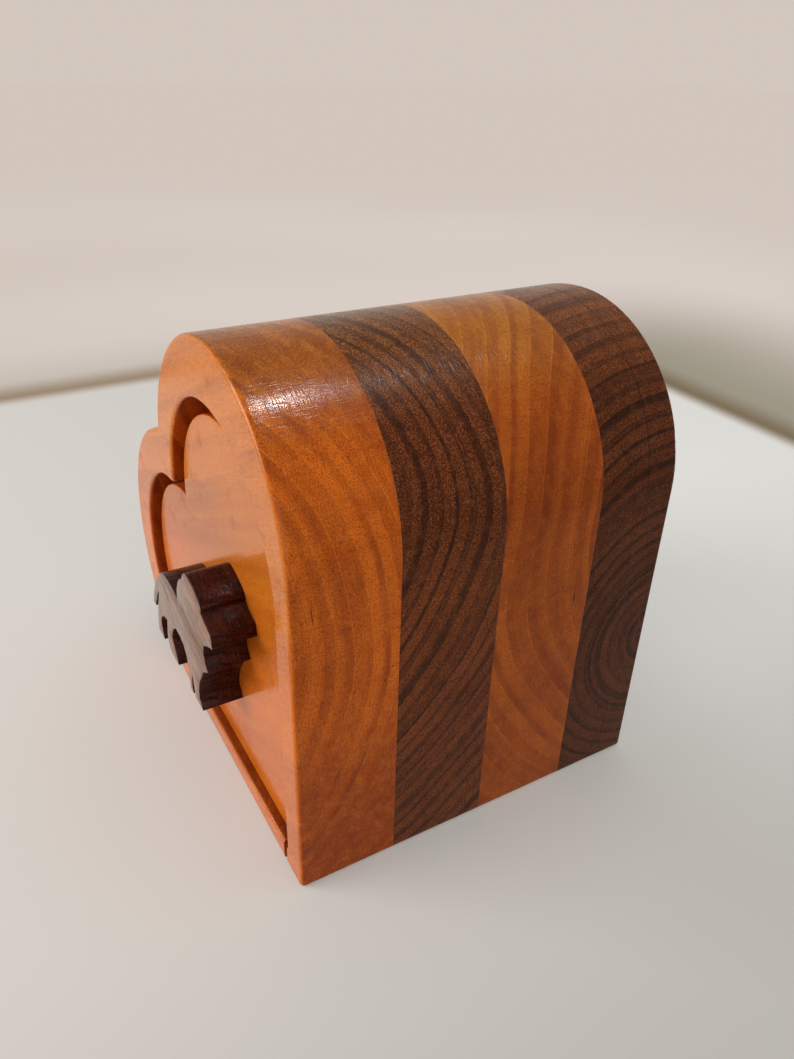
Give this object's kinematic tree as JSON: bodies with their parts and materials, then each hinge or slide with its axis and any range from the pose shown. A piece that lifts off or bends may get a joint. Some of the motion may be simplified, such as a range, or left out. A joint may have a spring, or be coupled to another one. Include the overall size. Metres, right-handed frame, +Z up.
{
  "type": "heart-shaped puzzle box",
  "caption": "Heart-shaped wooden box of alternating light and dark boards that stands on a straight side, with a sliding drawer, a dog-shaped pull and a hidden tilt lock.",
  "frame": {"origin": "on the base, below the middle of the whole box with its handle", "axes": "+Z up, the drawer opens towards -Y, the heart's point and the flat side wall are at +X"},
  "size_m": [0.1524, 0.1346, 0.1524],
  "materials": {
    "cherry": "gloss lacquer",
    "walnut": "gloss lacquer",
    "slip": "bare",
    "handle_walnut": "gloss lacquer",
    "dowel_birch": "bare",
    "brass": "turned",
    "steel": "turned"
  },
  "bodies": {
    "box": {"front_cherry_band": "cherry", "front_walnut_band": "walnut", "rear_cherry_band": "cherry", "rear_walnut_band": "walnut", "back_panel": "walnut", "kerf_slip": "slip"},
    "drawer": {"drawer_front": "cherry", "drawer_cherry_front_ring": "cherry", "drawer_walnut_front_ring": "walnut", "drawer_cherry_rear_ring": "cherry", "drawer_walnut_rear_ring": "walnut", "drawer_back": "walnut", "dog_handle": "handle_walnut", "handle_dowels": "dowel_birch", "lock_bush": "brass"},
    "lock_pin": {"lock_pin": "steel"}
  },
  "joints": [
    {"name": "drawer_slide", "type": "slide", "parent": "box", "child": "drawer", "axis": [0, -1, 0], "range_m": [0, 0.095]},
    {"name": "lock_slide", "type": "slide", "parent": "drawer", "child": "lock_pin", "axis": [1, 0, 0], "range_m": [0, 0.0047]}
  ]
}
